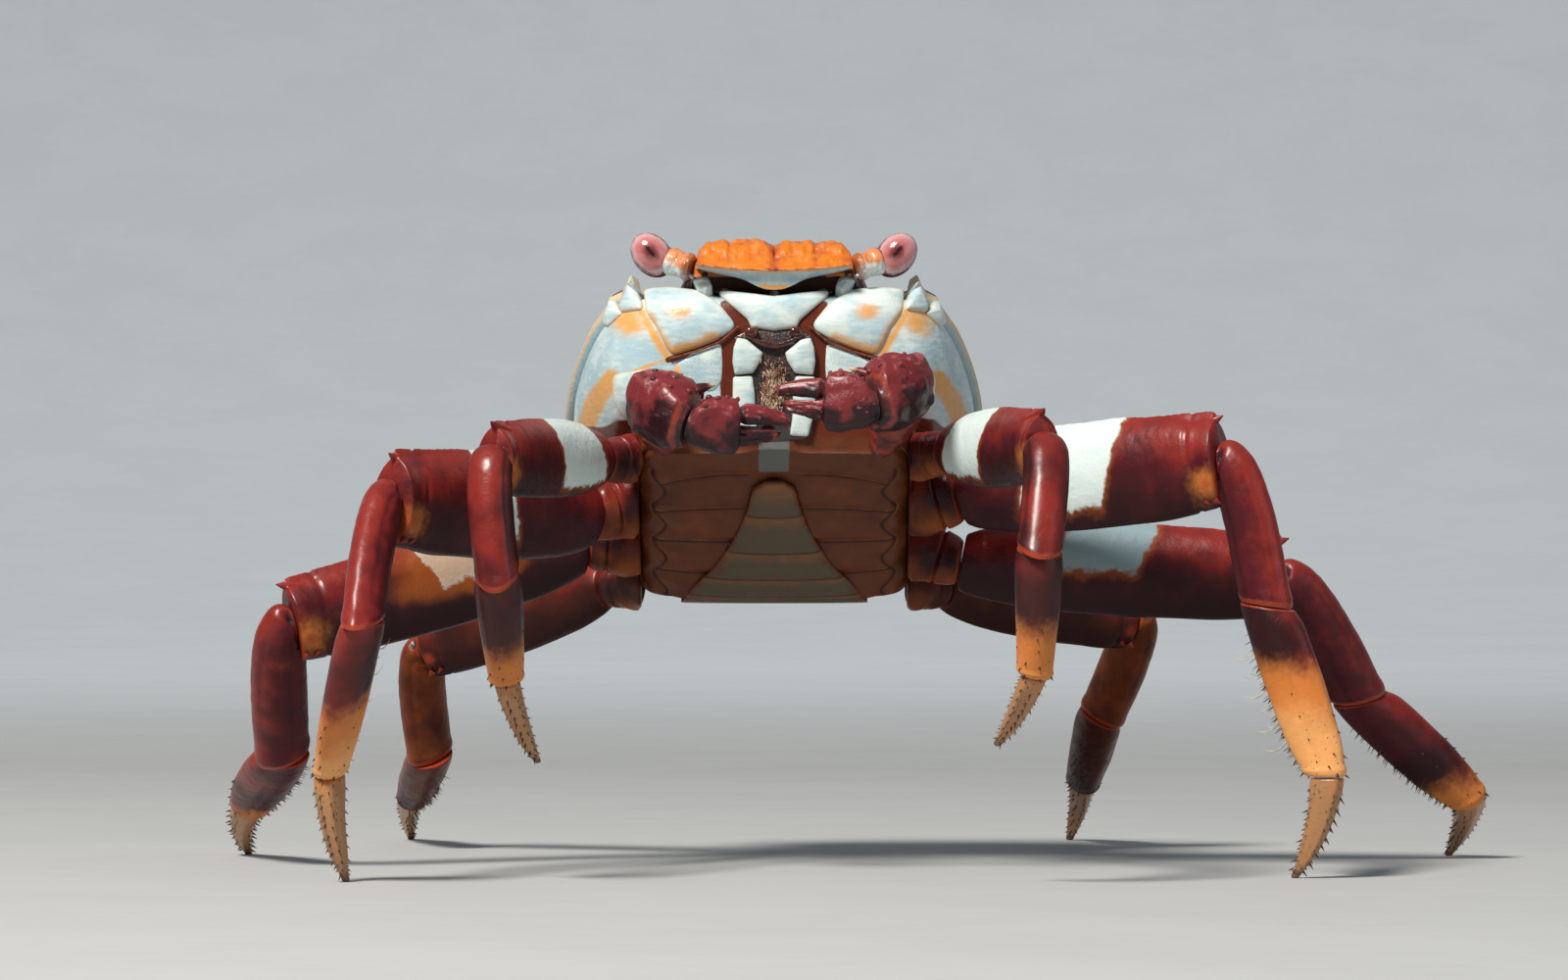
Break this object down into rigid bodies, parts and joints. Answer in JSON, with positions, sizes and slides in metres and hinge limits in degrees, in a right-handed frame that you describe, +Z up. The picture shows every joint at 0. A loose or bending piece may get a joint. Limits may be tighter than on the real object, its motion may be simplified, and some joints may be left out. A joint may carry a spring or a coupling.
{
  "type": "red rock crab model",
  "caption": "Life-size still model of a red rock crab that stands with its front raised, its first walking legs lifted and its claws held before its mouth.",
  "frame": {"origin": "on the floor, under the middle of the crab's overall box", "axes": "+Z up, the crab faces -Y, and its own left side is towards +X"},
  "size_m": [0.2139, 0.1523, 0.105],
  "materials": {
    "shell_red": "satin",
    "shell_orange": "satin",
    "shell_pale": "satin",
    "shell_brown": "satin",
    "shell_purple": "gloss",
    "eye": "gloss"
  },
  "bodies": {
    "root": {"abdomen": "shell_brown", "carapace": "shell_red", "left_antenna": "shell_pale", "left_claw_arm": "shell_brown", "left_claw_finger": "shell_purple", "left_claw_palm": "shell_purple", "left_claw_wrist": "shell_purple", "left_eye": "eye", "left_eyestalk": "shell_orange", "left_leg_1_base": "shell_brown", "left_leg_1_carpus": "shell_red", "left_leg_1_dactyl": "shell_orange", "left_leg_1_merus": "shell_red", "left_leg_1_propodus": "shell_red", "left_leg_2_base": "shell_brown", "left_leg_2_carpus": "shell_red", "left_leg_2_dactyl": "shell_orange", "left_leg_2_merus": "shell_red", "left_leg_2_propodus": "shell_red", "left_leg_3_base": "shell_brown", "left_leg_3_carpus": "shell_red", "left_leg_3_dactyl": "shell_orange", "left_leg_3_merus": "shell_red", "left_leg_3_propodus": "shell_red", "left_leg_4_base": "shell_brown", "left_leg_4_carpus": "shell_red", "left_leg_4_dactyl": "shell_orange", "left_leg_4_merus": "shell_red", "left_leg_4_propodus": "shell_red", "left_maxilliped": "shell_pale", "right_antenna": "shell_pale", "right_claw_arm": "shell_brown", "right_claw_finger": "shell_purple", "right_claw_palm": "shell_purple", "right_claw_wrist": "shell_purple", "right_eye": "eye", "right_eyestalk": "shell_orange", "right_leg_1_base": "shell_brown", "right_leg_1_carpus": "shell_red", "right_leg_1_dactyl": "shell_orange", "right_leg_1_merus": "shell_red", "right_leg_1_propodus": "shell_red", "right_leg_2_base": "shell_brown", "right_leg_2_carpus": "shell_red", "right_leg_2_dactyl": "shell_orange", "right_leg_2_merus": "shell_red", "right_leg_2_propodus": "shell_red", "right_leg_3_base": "shell_brown", "right_leg_3_carpus": "shell_red", "right_leg_3_dactyl": "shell_orange", "right_leg_3_merus": "shell_red", "right_leg_3_propodus": "shell_red", "right_leg_4_base": "shell_brown", "right_leg_4_carpus": "shell_red", "right_leg_4_dactyl": "shell_orange", "right_leg_4_merus": "shell_red", "right_leg_4_propodus": "shell_red", "right_maxilliped": "shell_pale", "thorax": "shell_pale"}
  },
  "joints": []
}
